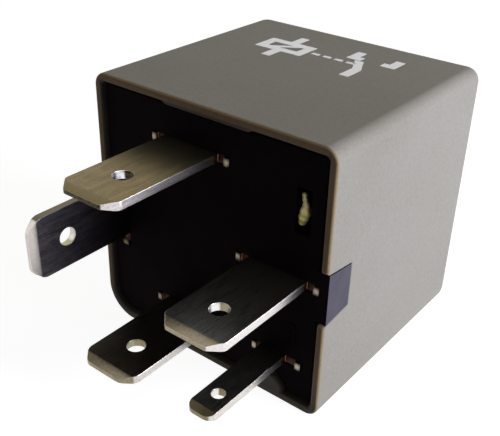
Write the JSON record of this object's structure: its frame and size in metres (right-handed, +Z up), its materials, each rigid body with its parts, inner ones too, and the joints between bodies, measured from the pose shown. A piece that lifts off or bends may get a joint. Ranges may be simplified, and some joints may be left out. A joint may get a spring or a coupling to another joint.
{
  "type": "automotive relay",
  "caption": "Plug-in relay: square moulded cover, black base with flat blade terminals, and inside a coil, yoke, hinged armature and changeover contacts.",
  "frame": {"origin": "on the underside, below the middle of the relay's box", "axes": "+Z up, +Y from the blades towards the cover's closed end, +X to the right seen from the blades"},
  "size_m": [0.027, 0.0394, 0.0269],
  "materials": {
    "cover_plastic": "moulded, fine matt",
    "base_plastic": "moulded, satin",
    "resin": "cured drop",
    "plated_brass": "tin plated, sheared edges",
    "magnet_iron": "plated",
    "bobbin_plastic": "moulded",
    "copper_wire": "enamelled copper wire",
    "contact_silver": "silver alloy, satin",
    "rivet_brass": "headed",
    "spring_copper": "rolled copper alloy"
  },
  "bodies": {
    "relay": {"cover": "cover_plastic", "base": "base_plastic", "resin_drop": "resin", "terminal_86": "plated_brass", "terminal_85": "plated_brass", "terminal_30": "plated_brass", "terminal_87": "plated_brass", "terminal_87a": "plated_brass", "yoke": "magnet_iron", "core": "magnet_iron", "bobbin": "bobbin_plastic", "coil_winding": "copper_wire", "fixed_contact_87": "contact_silver", "fixed_contact_87a": "contact_silver", "yoke_rivets": "rivet_brass"},
    "armature": {"armature": "magnet_iron", "contact_spring": "spring_copper", "moving_contact": "contact_silver", "armature_rivets": "rivet_brass"}
  },
  "joints": [
    {"name": "armature_hinge", "type": "hinge", "parent": "relay", "child": "armature", "pos_m": [-0.0104, 0.01325, 0.01345], "axis": [0, 0, -1], "range_deg": [0, 3], "stiffness_Nm_per_rad": 0.02, "springref_deg": -5.73}
  ]
}
